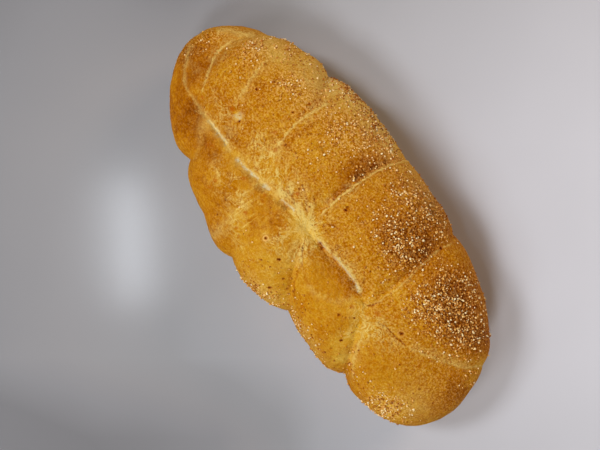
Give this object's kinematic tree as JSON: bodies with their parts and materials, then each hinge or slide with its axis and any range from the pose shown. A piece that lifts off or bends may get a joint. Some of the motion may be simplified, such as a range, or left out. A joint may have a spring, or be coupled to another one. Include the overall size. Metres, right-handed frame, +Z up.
{
  "type": "tear and share bread",
  "caption": "Long hand-pulled loaf of joined bread rolls in two rows, with a floury seam, a browned crust and a sprinkle of coarse semolina.",
  "frame": {"origin": "middle of the flat base, on the surface that the loaf rests on", "axes": "+X along the loaf, towards the end with the widest last roll; +Y across it, towards the row of taller rolls; +Z up"},
  "size_m": [0.3162, 0.1428, 0.0727],
  "materials": {
    "crust": "dry matt to satin baked crust, pale and floury in the seams, brown on the crowns"
  },
  "bodies": {
    "root": {"loaf": "crust"}
  },
  "joints": []
}
